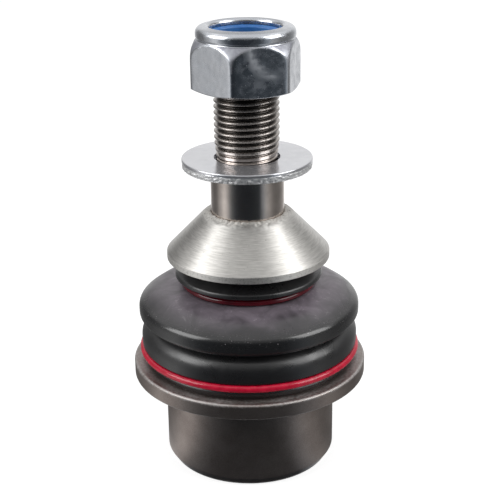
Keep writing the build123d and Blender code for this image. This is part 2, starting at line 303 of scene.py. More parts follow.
def zincPlate(name, finish):
    # Barrel-plated zinc with clear passivation: bright bluish grey, mottled, small dents from tumbling.
    material, tree, shader, place = startMaterial(name, finish["light"], finish["rough"][0], finish["metal"])
    patches = addNode(tree, "TexNoise", {"Vector": place, "Scale": 1000 / finish["patch"], "Detail": 6.0,
                                         "Roughness": 0.65, "Distortion": 0.6})
    mottled = addNode(tree, "Mix", {0: patches, 6: finish["dull"], 7: finish["light"]}, data_type="RGBA")
    blotchy = addNode(tree, "MapRange", [patches, *finish["blotches"]])
    bruises = addNode(tree, "Attribute", attribute_name="bruise").outputs["Fac"]
    bruised = addNode(tree, "Math", [bruises, blotchy], operation="MULTIPLY")
    handled = addNode(tree, "Mix", {0: bruised, 6: mottled, 7: finish["bruise"]}, data_type="RGBA")
    torn = addNode(tree, "Attribute", attribute_name="torn").outputs["Fac"]
    tears = addNode(tree, "TexNoise", {"Vector": place, "Scale": 1000 / finish["tear"], "Detail": 4.0,
                                       "Roughness": 0.7})
    # The torn band takes the dark pit colour in its low spots: painted shade in the pits.
    holes = addNode(tree, "MapRange", [tears, *finish["holes"]])
    broken = addNode(tree, "Mix", {0: holes, 6: finish["pitShade"], 7: finish["bare"]}, data_type="RGBA")
    colour = addNode(tree, "Mix", {0: torn, 6: handled, 7: broken}, data_type="RGBA")

    sheen = addNode(tree, "MapRange", [patches, *finish["polished"], *finish["rough"]])
    specks = addNode(tree, "TexNoise", {"Vector": place, "Scale": 1000 / finish["speck"], "Detail": 2.0})
    rubbed = addNode(tree, "MapRange", [specks, *finish["rubs"]])
    if finish["smear"]:
        arc = wipedArc(tree, place, patches, finish["smear"])
        rubbed = addNode(tree, "Math", [rubbed, arc], operation="MAXIMUM")
    clouds = addNode(tree, "TexNoise", {"Vector": place, "Scale": 1000 / finish["cloud"], "Detail": 5.0,
                                        "Distortion": 1.2})
    haze = addNode(tree, "MapRange", [clouds, *finish["hazed"], 0.0, finish["haze"]])
    marked = addNode(tree, "Math", [rubbed, bruised], operation="MAXIMUM")
    hazy = addNode(tree, "Math", [marked, haze], operation="MAXIMUM")
    scattered = addNode(tree, "Mix", {0: hazy, 2: sheen, 3: finish["handledRoughness"]})
    rough = addNode(tree, "Mix", {0: torn, 2: scattered, 3: finish["tornRoughness"]})

    waves = addNode(tree, "TexNoise", {"Vector": place, "Scale": 1000 / finish["wave"], "Detail": 1.0})
    wavy = addNode(tree, "Bump", {"Height": waves, "Strength": 0.5, "Distance": finish["waveDepth"] * mm})
    dents = addNode(tree, "TexNoise", {"Vector": place, "Scale": 1000 / finish["dent"], "Detail": 3.0})
    dented = addNode(tree, "Bump", {"Height": dents, "Strength": 0.5, "Normal": wavy,
                                    "Distance": finish["dentDepth"] * mm})
    tearHeight = addNode(tree, "Math", [tears, torn], operation="MULTIPLY")
    bump = addNode(tree, "Bump", {"Height": tearHeight, "Strength": 0.9, "Normal": dented,
                                  "Distance": finish["tearDepth"] * mm})
    plugIn(tree, shader, {"Base Color": colour, "Roughness": rough, "Normal": bump})
    return material


def blueNylon():
    # Moulded polyamide ring: deep clean blue, waxy, lighter where light gets into it.
    finish = {"deep": "#1F5AA4", "light": "#4A8ACC", "grain": 1.1, "grainDepth": 0.02}
    material, tree, shader, place = startMaterial("mouldedBlueNylon", finish["deep"], 0.38,
                                                  Subsurface_Weight=0.15, Subsurface_Scale=1 * mm)
    grain = addNode(tree, "TexNoise", {"Vector": place, "Scale": 1000 / finish["grain"], "Detail": 4.0})
    colour = addNode(tree, "Mix", {0: grain, 6: finish["deep"], 7: finish["light"]}, data_type="RGBA")
    bump = addNode(tree, "Bump", {"Height": grain, "Strength": 0.3, "Distance": finish["grainDepth"] * mm})
    plugIn(tree, shader, {"Base Color": colour, "Normal": bump})
    return material


def studSteel():
    # Hardened alloy steel, ground on the shank and rolled on the thread: grey-brown, smooth, oiled. Dirt and
    # painted shade darken the thread roots, and painted shade darkens the shank where it stands in the washer
    # hole.
    finish = {
        "dark": "#A69D97", "light": "#D4CAC3", "thread": "#B0AAA5", "rootDirtAndShade": "#4C4845", "holeShade": "#2B2826",
        "grind": 0.12, "grindDepth": 0.0004, "stain": 6.0, "dirt": 0.9,
        "stained": (0.1, 0.7), "clean": (0.32, 0.44), "rootToCrest": (7.15, 7.6), "threadFrom": (80.0, 83.0),
        # The near-black band from here is painted shade where the stud stands in the washer hole.
        "holeShadeFrom": (77.5, 77.6), "holeShadeTo": (79.6, 79.3),
        "groundRough": (0.3, 0.7, 0.22, 0.12), "rolledRough": (0.35, 0.6, 0.36, 0.2),
    }
    material, tree, shader, place = startMaterial("groundStudSteel", finish["light"], 0.18, metallic=1.0)
    rings = roundAndRound(tree, place, 1000 / finish["grind"] * 0.5, 2.5)
    ground = addNode(tree, "TexNoise", {"Vector": rings, "Scale": 1.0, "Detail": 3.0})
    stains = addNode(tree, "TexNoise", {"Vector": place, "Scale": 1000 / finish["stain"], "Detail": 5.0,
                                        "Roughness": 0.6})
    specks = addNode(tree, "TexNoise", {"Vector": place, "Scale": 1000 / finish["dirt"], "Detail": 4.0,
                                        "Roughness": 0.7})
    level = addNode(tree, "MapRange", [stains, *finish["stained"]])
    steel = addNode(tree, "Mix", {0: level, 6: finish["dark"], 7: finish["light"]}, data_type="RGBA")
    flat = addNode(tree, "VectorMath", [place, (1, 1, 0)], operation="MULTIPLY")
    reach = addNode(tree, "VectorMath", [flat], operation="LENGTH").outputs["Value"]
    # Darker towards the thread roots: dirt and painted shade in the roots.
    crest = addNode(tree, "MapRange", [reach, *[r * mm for r in finish["rootToCrest"]]],
                    interpolation_type="SMOOTHSTEP")
    clean = addNode(tree, "MapRange", [specks, *finish["clean"]])
    lifted = addNode(tree, "Math", [crest, clean], operation="MULTIPLY")
    rolled = addNode(tree, "Mix", {0: lifted, 6: finish["rootDirtAndShade"], 7: finish["thread"]}, data_type="RGBA")
    height = addNode(tree, "SeparateXYZ", [place]).outputs[2]
    threaded, below, above = [addNode(tree, "MapRange", [height, *[z * mm for z in finish[key]]])
                              for key in ("threadFrom", "holeShadeTo", "holeShadeFrom")]
    groundAndRolled = addNode(tree, "Mix", {0: threaded, 6: steel, 7: rolled}, data_type="RGBA")
    # Painted shade where the stud stands in the washer hole.
    inHoleShade = addNode(tree, "Math", [below, above], operation="MULTIPLY")
    colour = addNode(tree, "Mix", {0: inHoleShade, 6: groundAndRolled, 7: finish["holeShade"]}, data_type="RGBA")
    groundSheen = addNode(tree, "MapRange", [stains, *finish["groundRough"]])
    rolledSheen = addNode(tree, "MapRange", [specks, *finish["rolledRough"]])
    rough = addNode(tree, "Mix", {0: threaded, 2: groundSheen, 3: rolledSheen})
    bump = addNode(tree, "Bump", {"Height": ground, "Strength": 0.15, "Distance": finish["grindDepth"] * mm})
    plugIn(tree, shader, {"Base Color": colour, "Roughness": rough, "Normal": bump})
    return material


def turnedSteel():
    # Free-cutting steel, turned: bright, light drawn out across fine rings, nicks, and a rough burr.
    finish = {
        "light": "#CFCDC9", "dull": "#AEACA8", "burr": "#E2E0DC", "pitShade": "#8F8D88",
        "ring": 0.16, "nick": 0.5, "ringDepth": 0.002, "burrHeight": 6.0,  # in ring depths
        "turned": (0.3, 0.62), "pits": (0.34, 0.3), "lumps": (0.4, 0.5), "rough": (0.36, 0.7),
    }
    material, tree, shader, place = startMaterial("turnedBrightSteel", finish["light"], 0.34, metallic=1.0,
                                                  Anisotropic=0.5, Anisotropic_Rotation=0.25)
    cuts = roundAndRound(tree, place, 1000 / finish["ring"] * 0.5, 5.0)
    rings = addNode(tree, "TexNoise", {"Vector": cuts, "Scale": 1.0, "Detail": 4.0, "Roughness": 0.6})
    nicks = addNode(tree, "TexNoise", {"Vector": place, "Scale": 1000 / finish["nick"], "Detail": 4.0,
                                       "Roughness": 0.7})
    # The nicks take the dark pit colour where they sink: painted shade in the pits.
    pits = addNode(tree, "MapRange", [nicks, *finish["pits"]])
    raw = addNode(tree, "Attribute", attribute_name="burr").outputs["Fac"]
    lumps = addNode(tree, "MapRange", [nicks, *finish["lumps"]])
    burr = addNode(tree, "Math", [raw, lumps], operation="MULTIPLY")
    level = addNode(tree, "MapRange", [rings, *finish["turned"]])
    turned = addNode(tree, "Mix", {0: level, 6: finish["dull"], 7: finish["light"]}, data_type="RGBA")
    pitted = addNode(tree, "Mix", {0: pits, 6: turned, 7: finish["pitShade"]}, data_type="RGBA")
    colour = addNode(tree, "Mix", {0: burr, 6: pitted, 7: finish["burr"]}, data_type="RGBA")
    rough = addNode(tree, "Mix", {0: raw, 2: finish["rough"][0], 3: finish["rough"][1]})
    raised = addNode(tree, "Math", [burr, finish["burrHeight"]], operation="MULTIPLY")
    sunk = addNode(tree, "Math", [rings, pits], operation="SUBTRACT")
    height = addNode(tree, "Math", [sunk, raised], operation="ADD")
    bump = addNode(tree, "Bump", {"Height": height, "Strength": 0.4, "Distance": finish["ringDepth"] * mm})
    tangent = addNode(tree, "Tangent", direction_type="RADIAL", axis="Z")
    plugIn(tree, shader, {"Base Color": colour, "Roughness": rough, "Normal": bump, "Tangent": tangent})
    return material


def bootRubber():
    # Moulded chloroprene rubber: matt black, purplish bloom and dust on top, scuffs on the ridge.
    finish = {
        "black": "#1D1D1E", "bloom": "#7C737C", "dust": "#9B9598",
        "cloud": 6.0, "scuff": 0.45, "scuffDepth": 0.02, "scratch": 9.0, "grease": 7.5,
        "clouded": (0.3, 0.66, 0.34, 1.0), "speckled": (0.64, 0.74), "scratchAt": 0.52, "scratchWidth": 0.007,
        "scratched": (0.5, 0.62), "fullBloom": 0.8, "rough": (0.33, 0.46), "greased": (0.4, 0.65, 1.1, 0.75),
        "ridgeRoughness": 0.2,
    }
    material, tree, shader, place = startMaterial("mouldedChloropreneRubber", finish["black"], 0.5,
                                                  Specular_IOR_Level=0.75)
    dusty, ridge = [addNode(tree, "Attribute", attribute_name=mark).outputs["Fac"]
                    for mark in ("dust", "scuff")]
    clouds = addNode(tree, "TexNoise", {"Vector": place, "Scale": 1000 / finish["cloud"], "Detail": 6.0,
                                        "Roughness": 0.62, "Distortion": 0.8})
    cloudy = addNode(tree, "MapRange", [clouds, *finish["clouded"]])
    bloom = addNode(tree, "Math", [dusty, cloudy], operation="MULTIPLY")
    bloomed = addNode(tree, "Mix", {0: bloom, 6: finish["black"], 7: finish["bloom"]}, data_type="RGBA")
    specks = addNode(tree, "TexNoise", {"Vector": place, "Scale": 1000 / finish["scuff"], "Detail": 3.0,
                                        "Roughness": 0.7})
    speckle = addNode(tree, "MapRange", [specks, *finish["speckled"]])
    scuffs = addNode(tree, "Math", [speckle, ridge], operation="MULTIPLY")
    curls = addNode(tree, "TexNoise", {"Vector": place, "Scale": 1000 / finish["scratch"], "Detail": 2.0,
                                       "Distortion": 2.5})
    fromLine = addNode(tree, "Math", [curls, finish["scratchAt"]], operation="SUBTRACT")
    nearLine = addNode(tree, "Math", [fromLine], operation="ABSOLUTE")
    line = addNode(tree, "MapRange", [nearLine, 0.0, finish["scratchWidth"], 1.0, 0.0])
    someLines = addNode(tree, "MapRange", [clouds, *finish["scratched"]])
    scratches = addNode(tree, "Math", [line, someLines], operation="MULTIPLY")
    onTop = addNode(tree, "Math", [scratches, dusty], operation="MULTIPLY")
    marks = addNode(tree, "Math", [onTop, scuffs], operation="MAXIMUM")
    colour = addNode(tree, "Mix", {0: marks, 6: bloomed, 7: finish["dust"]}, data_type="RGBA")
    sheen = addNode(tree, "MapRange", [bloom, 0.0, finish["fullBloom"], *finish["rough"]])
    greasy = addNode(tree, "TexNoise", {"Vector": place, "Scale": 1000 / finish["grease"], "Detail": 4.0,
                                        "Distortion": 1.5})
    film = addNode(tree, "MapRange", [greasy, *finish["greased"]])
    smooth = addNode(tree, "Math", [sheen, film], operation="MULTIPLY")
    rough = addNode(tree, "Mix", {0: ridge, 2: smooth, 3: finish["ridgeRoughness"]})
    bump = addNode(tree, "Bump", {"Height": specks, "Strength": 0.4, "Distance": finish["scuffDepth"] * mm})
    plugIn(tree, shader, {"Base Color": colour, "Roughness": rough, "Normal": bump})
    return material


def redWire():
    # Spring wire in a glossy plastic coat: deep red, with painted shade where the boot's lip hangs over it.
    finish = {"deep": "#B5102F", "light": "#D41F40", "lipShade": "#3C0813", "fleck": 1.6, "fleckDepth": 0.012,
              "flecked": (0.35, 0.75)}
    material, tree, shader, place = startMaterial("redCoatedSpringWire", finish["light"], 0.12)
    flecks = addNode(tree, "TexNoise", {"Vector": place, "Scale": 1000 / finish["fleck"], "Detail": 4.0})
    level = addNode(tree, "MapRange", [flecks, *finish["flecked"]])
    clean = addNode(tree, "Mix", {0: level, 6: finish["deep"], 7: finish["light"]}, data_type="RGBA")
    # This mask darkens the red towards near black: painted shade under the boot's lip.
    lipShaded = addNode(tree, "Attribute", attribute_name="lipShade").outputs["Fac"]
    colour = addNode(tree, "Mix", {0: lipShaded, 6: clean, 7: finish["lipShade"]}, data_type="RGBA")
    bump = addNode(tree, "Bump", {"Height": flecks, "Strength": 0.3, "Distance": finish["fleckDepth"] * mm})
    plugIn(tree, shader, {"Base Color": colour, "Normal": bump})
    return material


def phosphatedSteel():
    # Forged and turned steel, phosphate coated: brown-grey, fine crystals, bare metal on worn edges, and
    # painted highlight lines in the same bare colour on the lower edges.
    # Real crystals are a few hundredths of a mm; they are drawn coarser, so that they show.
    finish = {
        "dark": "#7F746F", "light": "#A69B95", "bare": "#B2AEAC",
        "crystal": 0.32, "crystalDepth": 0.02, "cloud": 6.0, "rub": 0.7,
        "coated": (0.6, 1.4), "rubbed": (0.3, 0.56), "rough": (0.38, 0.5), "metal": (0.95, 0.65),
    }
    material, tree, shader, place = startMaterial("phosphatedSteel", finish["light"], 0.4, finish["metal"][0])
    clouds = addNode(tree, "TexNoise", {"Vector": place, "Scale": 1000 / finish["cloud"], "Detail": 5.0})
    crystals = addNode(tree, "TexNoise", {"Vector": place, "Scale": 1000 / finish["crystal"], "Detail": 3.0,
                                          "Roughness": 0.7})
    both = addNode(tree, "Math", [clouds, crystals], operation="ADD")
    level = addNode(tree, "MapRange", [both, *finish["coated"]])
    coat = addNode(tree, "Mix", {0: level, 6: finish["dark"], 7: finish["light"]}, data_type="RGBA")
    rubs = addNode(tree, "TexNoise", {"Vector": place, "Scale": 1000 / finish["rub"], "Detail": 5.0,
                                      "Roughness": 0.75})
    # This mask holds worn bare metal and painted highlight lines on the housing's lower edges alike.
    wornAndHighlit = addNode(tree, "Attribute", attribute_name="wearAndHighlight").outputs["Fac"]
    rubbed = addNode(tree, "Math", [rubs, wornAndHighlit], operation="MULTIPLY")
    bare = addNode(tree, "MapRange", [rubbed, *finish["rubbed"]])
    colour = addNode(tree, "Mix", {0: bare, 6: coat, 7: finish["bare"]}, data_type="RGBA")
    rough = addNode(tree, "MapRange", [bare, 0.0, 1.0, *finish["rough"]])
    metal = addNode(tree, "MapRange", [bare, 0.0, 1.0, *finish["metal"]])
    bump = addNode(tree, "Bump", {"Height": crystals, "Strength": 0.5,
                                  "Distance": finish["crystalDepth"] * mm})
    plugIn(tree, shader, {"Base Color": colour, "Roughness": rough, "Metallic": metal, "Normal": bump})
    return material


def plainFinish(name, low, high, grainMm, roughness, metallic=0.0):
    # For the pieces inside: two close tones, grain of a real size and a shallow bump.
    material, tree, shader, place = startMaterial(name, high, roughness, metallic)
    grain = addNode(tree, "TexNoise", {"Vector": place, "Scale": 1000 / grainMm, "Detail": 4.0})
    colour = addNode(tree, "Mix", {0: grain, 6: low, 7: high}, data_type="RGBA")
    bump = addNode(tree, "Bump", {"Height": grain, "Strength": 0.4, "Distance": 0.01 * mm})
    plugIn(tree, shader, {"Base Color": colour, "Normal": bump})
    return material


zinc = zincPlate("zincPlatedSteel", nutPlating)
washerZinc = zincPlate("satinZincPlatedSteel", washerPlating)
nylon, steel, turned = blueNylon(), studSteel(), turnedSteel()
rubber, red, phosphated = bootRubber(), redWire(), phosphatedSteel()
acetal = plainFinish("mouldedAcetal", "#D9D4C4", "#EAE6DA", 1.5, 0.35)
bluedSteel = plainFinish("bluedSpringSteel", "#44464E", "#6B6C74", 0.8, 0.3, metallic=1.0)
nitrile = plainFinish("mouldedNitrileRubber", "#161617", "#222224", 0.5, 0.55)
print("materials ready:", len(bpy.data.materials))


# Housing: barrel, flange and the seat under the boot, one turned forging
housingSizes = {
    "outline": {
        "leadIn": [(16.75, 0, 0.35), (20.4, 0, 0.35), (21.75, 2.1, 0.6)],
        "flange": [(21.75, 23.3, 0.5), (29.75, 23.3, 0.35), (29.75, 27.2, 0.6)],
        "bootSeat": [(24.1, 27.2, 0.2), (24.1, 31.8), (24.7, 32.4), (24.7, 34.2, 0.7)],
        "mouth": [(15.13, 34.2, 0.35), (12.95, 28.21, 0.35), (12.95, 27.21)],
        "bore": [(15.55, 27.21), (18.05, 23.6), (18.05, 3.6)],
        "rolledEdge": [(18.65, 3.6), (18.65, 1.2), (16.75, 1.2, 0.35)],
    },
    # The flange's top edge and land are worn bare; the flange's lower edge and the lead-in chamfer's edges
    # carry painted highlight lines in the same bare colour.
    "wornAndHighlitEdges": [(29.5, 27.0, 1.0, 0.9), (28.0, 27.2, 0.95, 2.0), (29.7, 23.4, 1.1, 0.3),
                  (21.65, 2.15, 0.4, 0.2), (20.6, 0.3, 2.0, 0.4)],  # radius, height, strength and spread
    "unevenWear": 0.25, "wearPatch": 5.0,
}
housing = turnedPiece("turnedHousing", housingSizes["outline"], longest=0.6)
points, reach = placesOf(housing)
wearAndHighlight = np.zeros(len(points))
for radius, height, strength, spread in housingSizes["wornAndHighlitEdges"]:
    gap = np.hypot(reach - radius, points[:, 2] - height)
    wearAndHighlight = np.maximum(wearAndHighlight, strength * np.exp(-(gap / spread) ** 2))
unevenness = housingSizes["unevenWear"] * noiseAt(points, housingSizes["wearPatch"])
addAttribute(housing, "wearAndHighlight", wearAndHighlight * (1 + unevenness))
housing.data.materials.append(phosphated)
print("housing:", len(housing.data.polygons), "faces")


# Dust boot: foot, two folds, dished crown and the lip that holds the slide ring
bootSizes = {
    "outline": {
        "foot": [(26.25, 27.2), (26.75, 28.5, 0.3), (26.25, 29.4, 0.3), (26.25, 31.15, 0.2)],
        "lowerFold": [(27.45, 31.4, 0.4), (27.6, 35.6, 4.0), (24.6, 38.0, 0.3)],
        "upperFold": [(27.95, 39.3, 1.6), (27.95, 42.8, 2.2)],
        "crown": [(23.4, 46.0, 8.0), (17.2, 47.1, 0.2)],
        "wireGroove": [(15.6, 47.0), (15.45, 47.0), (15.45, 49.4, 0.2)],
        "lip": [(18.7, 49.4, 0.5), (18.4, 50.6, 0.8), (15.4, 52.6, 0.25), (13.65, 52.6)],
        "underCrown": [(13.65, 45.3, 0.8), (22.7, 44.15, 5.0)],
        "insideFolds": [(26.15, 40.8, 2.0), (26.15, 40.0, 0.8), (22.6, 38.0, 0.5), (25.7, 35.5, 0.8),
                        (25.75, 33.8, 0.8)],
        "hook": [(24.8, 32.6), (24.8, 32.4), (24.15, 31.75), (24.15, 27.55), (24.5, 27.2)],
    },
    "dustFrom": 43.2, "dustTo": 48.4, "dustFade": 1.6, "dustRagged": 0.8, "dustPatch": 6.0,  # by height
    "crownEdge": 25.6, "edgeFade": 5.0, "edgeRagged": 1.5, "edgePatch": 7.0, "edgeDust": 0.2,  # by radius
    "ridge": (27.3, 42.9), "ridgeWidth": 1.6, "scuffElsewhere": 0.05,
}
boot = turnedPiece("mouldedBoot", bootSizes["outline"], longest=0.8, sharpAngle=45)
points, reach = placesOf(boot)
ragged = bootSizes["dustRagged"] * noiseAt(points, bootSizes["dustPatch"], 3)
facingUp = np.clip((points[:, 2] - bootSizes["dustFrom"] + ragged) / bootSizes["dustFade"], 0, 1)
facingUp *= points[:, 2] < bootSizes["dustTo"]
ragged = bootSizes["edgeRagged"] * noiseAt(points, bootSizes["edgePatch"], 11)
inner = np.clip((bootSizes["crownEdge"] - reach + ragged) / bootSizes["edgeFade"], 0, 1)
addAttribute(boot, "dust", facingUp * (bootSizes["edgeDust"] + (1 - bootSizes["edgeDust"]) * inner))
ridgeGap = np.hypot(reach - bootSizes["ridge"][0], points[:, 2] - bootSizes["ridge"][1])
onRidge = np.exp(-(ridgeGap / bootSizes["ridgeWidth"]) ** 2)
addAttribute(boot, "scuff", bootSizes["scuffElsewhere"] + (1 - bootSizes["scuffElsewhere"]) * onRidge)
boot.data.materials.append(rubber)
print("boot:", len(boot.data.polygons), "faces")


# Clamp rings: one tree sweeps a wire round the boot
wirePoints = {"Ring points": 240, "Section points": 28}
lowerWire = {"Ring radius": 27.2 * mm, "Wire radius": 0.9 * mm, "Height": 30.3 * mm, **wirePoints}
upperWire = {"Ring radius": 16.3 * mm, "Wire radius": 0.8 * mm, "Height": 47.9 * mm, **wirePoints}
# How dark and how uneven the painted shade under the boot's lip is on the upper wire.
lipShadeSizes = {"level": 0.88, "uneven": 0.12, "patch": 3.0}
wireTree, size = newTree("clampWire", lowerWire)
circle = addNode(wireTree, "GeometryNodeCurvePrimitiveCircle", {"Resolution": size["Ring points"],
                                                                "Radius": size["Ring radius"]})
section = addNode(wireTree, "GeometryNodeCurvePrimitiveCircle", {"Resolution": size["Section points"],
                                                                 "Radius": size["Wire radius"]})
swept = addNode(wireTree, "GeometryNodeCurveToMesh", [circle, section])
lift = addNode(wireTree, "CombineXYZ", {2: size["Height"]})
raised = addNode(wireTree, "GeometryNodeTransform", {0: swept, "Translation": lift})
smooth = addNode(wireTree, "GeometryNodeSetShadeSmooth", [raised])
endTree(wireTree, smooth, red)
lowerClamp = pieceFromTree("lowerClampWire", wireTree, lowerWire)
upperClamp = pieceFromTree("upperClampWire", wireTree, upperWire)
# Painted shade under the lip, a little uneven, on the upper wire only.
lipShade = lipShadeSizes["uneven"] * noiseAt(placesOf(upperClamp)[0], lipShadeSizes["patch"], 21)
addAttribute(upperClamp, "lipShade", lipShadeSizes["level"] + lipShade)
print("clamp wires:", len(lowerClamp.data.polygons) + len(upperClamp.data.polygons), "faces")


# Turned cone on the shank, with the burr that pressing it on has raised
coneSizes = {
    "outline": {
        "spigot": [(9.12, 44.5), (13.2, 44.5, 0.17), (13.2, 44.9), (12.6, 45.5), (12.6, 54.35)],
        "rim": [(20.22, 54.35), (20.4, 54.53), (20.4, 56.05, 0.25)],
        "top": [(10.7, 66.1, 5.0), (9.3, 66.1, 0.1), (9.12, 65.9)],
    },
    "burrInside": 9.2, "burrOutside": 11.8, "burrAbove": 64.4, "burrFade": 1.6, "burrRagged": 0.8,
    "burrPatch": 2.0, "burrLift": 0.3, "burrLump": 0.7,
    "rimBurr": 0.6, "rimInside": 20.2, "rimFrom": 54.2, "rimTo": 56.1,
}
cone = turnedPiece("turnedCone", coneSizes["outline"], longest=0.35, sharpAngle=28)
points, reach = placesOf(cone)
ragged = coneSizes["burrRagged"] * noiseAt(points, coneSizes["burrPatch"], 8)
onTop = (points[:, 2] > coneSizes["burrAbove"]) * (reach > coneSizes["burrInside"])
burr = np.clip((coneSizes["burrOutside"] - reach + ragged) / coneSizes["burrFade"], 0, 1) * onTop
lifts = burr * coneSizes["burrLift"] * noiseAt(points, coneSizes["burrLump"], 5) * mm
for vertex, amount in zip(cone.data.vertices, lifts):
    vertex.co.z += amount
onRim = (points[:, 2] < coneSizes["rimTo"]) * (points[:, 2] > coneSizes["rimFrom"])
onRim = onRim * (reach > coneSizes["rimInside"])
addAttribute(cone, "burr", np.maximum(burr, coneSizes["rimBurr"] * onRim))
cone.data.materials.append(turned)
print("cone:", len(cone.data.polygons), "faces")


# Washer: punched disc, rolled over at the top edge, sheared and then torn below
washerSizes = {
    "outline": {
        "underside": [(8.13, 77.62), (15.9, 77.62, 0.15)],
        "edge": [(16.0, 77.8, 0.1), (16.1, 79.0, 0.2), (16.1, 79.95, 0.32)],
        "hole": [(8.13, 79.95, 0.06)],
    },
    "tornOutside": 15.6, "tornBelow": 79.25, "tornFade": 0.15, "tornDepth": 0.2, "tornLump": 0.5,
    "mostlySunk": 0.4, "tornLeast": 0.8, "tornUneven": 0.4,
}
washer = turnedPiece("punchedWasher", washerSizes["outline"], longest=0.15, sharpAngle=40)
points, reach = placesOf(washer)
lumps = noiseAt(points, washerSizes["tornLump"], 9)
sheared = np.clip((washerSizes["tornBelow"] - points[:, 2]) / washerSizes["tornFade"], 0, 1)
torn = (reach > washerSizes["tornOutside"]) * sheared
pits = torn * washerSizes["tornDepth"] * (lumps - washerSizes["mostlySunk"])
for vertex, pitShade, out in zip(washer.data.vertices, pits, reach):
    vertex.co.x *= 1 + pitShade / out
    vertex.co.y *= 1 + pitShade / out
addAttribute(washer, "torn", torn * (washerSizes["tornLeast"] + washerSizes["tornUneven"] * lumps))
washer.data.materials.append(washerZinc)
print("washer:", len(washer.data.polygons), "faces")


# Stud: ball, waisted neck, shoulder and ground shank, then the rolled thread as a helix of its own
studSizes = {
    "ball": 15.0, "ballCentre": 18.5, "flat": 5.3, "ballSteps": 60, "segments": 120, "insideTip": 105,
    "shaft": [(8, 39.1, 8.0), (11.2, 42.3, 0.35), (11.2, 44.5, 0.35), (9.1, 44.5), (9.1, 77.6, 0.35),
              (7.1, 77.6, 0.3), (7.1, 78.4)],
    "tip": [(6.9, 106.2), (2.0, 106.2, 0.15), (0, 104.2)],
}
flatAngle = math.acos((studSizes["ballCentre"] - studSizes["flat"]) / studSizes["ball"])
neckAngle = math.pi - math.asin(studSizes["shaft"][0][0] / studSizes["ball"])
ballArc = [(studSizes["ball"] * math.sin(a), studSizes["ballCentre"] - studSizes["ball"] * math.cos(a))
           for a in np.linspace(flatAngle, neckAngle, studSizes["ballSteps"])]
shaftEnd = [(0, studSizes["shaft"][-1][1])]
coreOutline = roundedOutline([(0, studSizes["flat"])] + ballArc + studSizes["shaft"] + shaftEnd)[0][:-1]
tipOutline = roundedOutline([(0, studSizes["insideTip"])] + studSizes["tip"])[0][1:]
angles = np.arange(studSizes["segments"]) * 2 * math.pi / studSizes["segments"]
corePoints, tipPoints = ringPoints(coreOutline, angles), ringPoints(tipOutline, angles)
coreFaces = latheFaces(len(coreOutline), studSizes["segments"], False)
tipFaces = [tuple(i + len(corePoints) for i in face)
            for face in latheFaces(len(tipOutline), studSizes["segments"], False)]

# Lengths in mm; the two flats are shares of half a pitch, measured from the root.
threadSizes = {
    "Pitch": 1.5, "Turns": 20, "Steps per turn": 120, "Profile points": 17, "Start": 76.9, "Bottom": 78.4,
    "Top": 106.2, "Root radius": 7.12, "Crest height": 0.88, "Root flat": 0.1, "Crest flat": 0.96,
    "Sharpness": 1.6, "Relief radius": 7.45, "Relief end": 80.2, "Full thread": 84.5, "Chamfer": 1.1,
    "Merging": 0.002,
}
threadTree, size = newTree("rolledThread", threadSizes)
rounds = addNode(threadTree, "Math", [size["Turns"], size["Steps per turn"]], operation="MULTIPLY")
columns = addNode(threadTree, "Math", [rounds, 1.0], operation="ADD")
strip = addNode(threadTree, "GeometryNodeMeshGrid", {"Size X": 1.0, "Size Y": 1.0, "Vertices X": columns,
                                                     "Vertices Y": size["Profile points"]})
place = addNode(threadTree, "SeparateXYZ", [addNode(threadTree, "GeometryNodeInputPosition")])
along = addNode(threadTree, "Math", [place.outputs[0], 0.5], operation="ADD")
across = addNode(threadTree, "Math", [place.outputs[1], 0.5], operation="ADD")
turnsDone = addNode(threadTree, "Math", [along, size["Turns"]], operation="MULTIPLY")
angle = addNode(threadTree, "Math", [turnsDone, 2 * math.pi], operation="MULTIPLY")
pitches = addNode(threadTree, "Math", [turnsDone, across], operation="ADD")
climb = addNode(threadTree, "Math", [pitches, size["Pitch"], size["Start"]], operation="MULTIPLY_ADD")
raised = addNode(threadTree, "Math", [climb, size["Bottom"]], operation="MAXIMUM")
height = addNode(threadTree, "Math", [raised, size["Top"]], operation="MINIMUM")
fold = addNode(threadTree, "Math", [across, 2.0, -1.0], operation="MULTIPLY_ADD")
flank = addNode(threadTree, "Math", [fold], operation="ABSOLUTE")
slope = addNode(threadTree, "MapRange", [flank, size["Root flat"], size["Crest flat"], 0.0, math.pi / 2])
swell = addNode(threadTree, "Math", [slope], operation="SINE")
profile = addNode(threadTree, "Math", [swell, size["Sharpness"]], operation="POWER")
thread = addNode(threadTree, "Math", [profile, size["Crest height"], size["Root radius"]],
                 operation="MULTIPLY_ADD")
major = addNode(threadTree, "Math", [size["Root radius"], size["Crest height"]], operation="ADD")
runout = addNode(threadTree, "MapRange", [height, size["Relief end"], size["Full thread"],
                                                    size["Relief radius"], major])
chamferStart = addNode(threadTree, "Math", [size["Top"], size["Chamfer"]], operation="SUBTRACT")
tipRadius = addNode(threadTree, "Math", [major, size["Chamfer"]], operation="SUBTRACT")
tipLimit = addNode(threadTree, "MapRange", [height, chamferStart, size["Top"], major, tipRadius])
cut = addNode(threadTree, "Math", [thread, runout], operation="MINIMUM")
radius = addNode(threadTree, "Math", [cut, tipLimit], operation="MINIMUM")
cosine = addNode(threadTree, "Math", [angle], operation="COSINE")
sine = addNode(threadTree, "Math", [angle], operation="SINE")
x = addNode(threadTree, "Math", [cosine, radius], operation="MULTIPLY")
y = addNode(threadTree, "Math", [sine, radius], operation="MULTIPLY")
onHelix = addNode(threadTree, "CombineXYZ", [x, y, height])
wound = addNode(threadTree, "GeometryNodeSetPosition", {0: strip, "Position": onHelix})
merged = addNode(threadTree, "GeometryNodeMergeByDistance", {0: wound, "Distance": size["Merging"]})
endTree(threadTree, merged, steel)
threadStrip = pieceFromTree("threadStrip", threadTree, threadSizes)
helix = np.array([vertex.co[:] for vertex in threadStrip.data.vertices])
